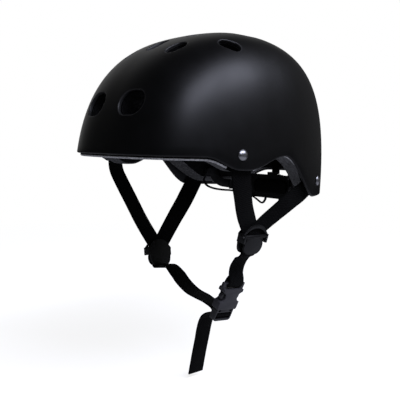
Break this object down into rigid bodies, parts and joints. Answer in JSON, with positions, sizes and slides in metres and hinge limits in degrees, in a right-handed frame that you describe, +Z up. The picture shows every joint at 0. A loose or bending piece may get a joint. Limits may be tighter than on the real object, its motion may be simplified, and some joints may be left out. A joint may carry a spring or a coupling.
{
  "type": "bicycle helmet",
  "caption": "Matte black skate-style bicycle helmet with a foam liner, webbing straps in cam dividers, a side-release buckle and a rear fit dial.",
  "frame": {"origin": "middle of the head opening, at the level of the brow edge", "axes": "+Z up through the crown, -Y towards the brow, +X towards the wearer's left"},
  "size_m": [0.2086, 0.2659, 0.3557],
  "materials": {
    "shell": "matte, fine",
    "foam": "moulded bead foam",
    "padding": "knitted cover over soft foam",
    "hook_fabric": "hook fastener",
    "webbing": "woven",
    "rivet_steel": "polished",
    "screw_steel": "satin",
    "divider_plastic": "satin",
    "lever_plastic": "satin",
    "buckle_plastic": "satin",
    "fit_plastic": "satin"
  },
  "bodies": {
    "helmet": {"outer_shell": "shell", "foam_liner": "foam", "brow_pad": "padding", "crown_pad": "padding", "side_pad_left": "padding", "side_pad_right": "padding", "rear_pad": "padding", "pad_hook_dots": "hook_fabric", "strap_rivets": "rivet_steel", "rivet_washers": "screw_steel", "front_strap_left": "webbing", "front_strap_right": "webbing", "rear_strap_left": "webbing", "rear_strap_right": "webbing", "divider_base_left": "divider_plastic", "divider_base_right": "divider_plastic", "divider_pin_left": "screw_steel", "divider_pin_right": "screw_steel", "chin_strap_left": "webbing", "chin_strap_right": "webbing", "buckle_socket": "buckle_plastic", "rear_cradle": "fit_plastic", "cradle_cover": "fit_plastic", "cover_screws": "screw_steel", "fit_band_left": "fit_plastic", "fit_band_right": "fit_plastic", "band_anchors": "fit_plastic", "cradle_pad": "padding"},
    "lever_left": {"divider_lever_left": "lever_plastic"},
    "lever_right": {"divider_lever_right": "lever_plastic"},
    "plug": {"buckle_plug": "buckle_plastic", "strap_tail": "webbing"},
    "prong_front": {"release_prong_front": "buckle_plastic"},
    "prong_rear": {"release_prong_rear": "buckle_plastic"},
    "dial": {"dial_pinion": "fit_plastic", "dial_knob": "fit_plastic", "dial_screw": "screw_steel"},
    "rack_left": {"rack_left": "fit_plastic"},
    "rack_right": {"rack_right": "fit_plastic"}
  },
  "joints": [
    {"name": "divider_lever_left", "type": "hinge", "parent": "helmet", "child": "lever_left", "pos_m": [0.0782, -0.01089, -0.0768], "axis": [0.064, -0.9966, 0.051], "range_deg": [0, 100]},
    {"name": "divider_lever_right", "type": "hinge", "parent": "helmet", "child": "lever_right", "pos_m": [-0.07827, -0.01035, -0.11345], "axis": [-0.1193, 0.9837, -0.1344], "range_deg": [0, 100]},
    {"name": "buckle_release", "type": "slide", "parent": "helmet", "child": "plug", "axis": [-0.3476, -0.1219, -0.9297], "range_m": [0, 0.024], "deforming": ["chin_strap_right", "release_prong_front", "release_prong_rear"]},
    {"name": "release_prong_rear", "type": "hinge", "parent": "plug", "child": "prong_rear", "pos_m": [0.03939, -0.0059, -0.15564], "axis": [0.9367, 0, -0.3502], "range_deg": [0, 8]},
    {"name": "release_prong_front", "type": "hinge", "parent": "plug", "child": "prong_front", "pos_m": [0.04007, -0.02158, -0.15384], "axis": [-0.9367, 0, 0.3502], "range_deg": [0, 8]},
    {"name": "dial_turn", "type": "hinge", "parent": "helmet", "child": "dial", "pos_m": [0, 0.1, -0.038], "axis": [0, 1, 0], "range_deg": [-119, 119]},
    {"name": "rack_left_slide", "type": "slide", "parent": "helmet", "child": "rack_left", "axis": [1, 0, 0], "range_m": [-0.0105, 0.0105], "deforming": ["fit_band_left"]},
    {"name": "rack_right_slide", "type": "slide", "parent": "helmet", "child": "rack_right", "axis": [-1, 0, 0], "range_m": [-0.0105, 0.0105], "deforming": ["fit_band_right"]}
  ],
  "couplings": [
    {"joint": "rack_left_slide", "follows": "dial_turn", "m_per_rad": 0.005},
    {"joint": "rack_right_slide", "follows": "dial_turn", "m_per_rad": 0.005}
  ]
}
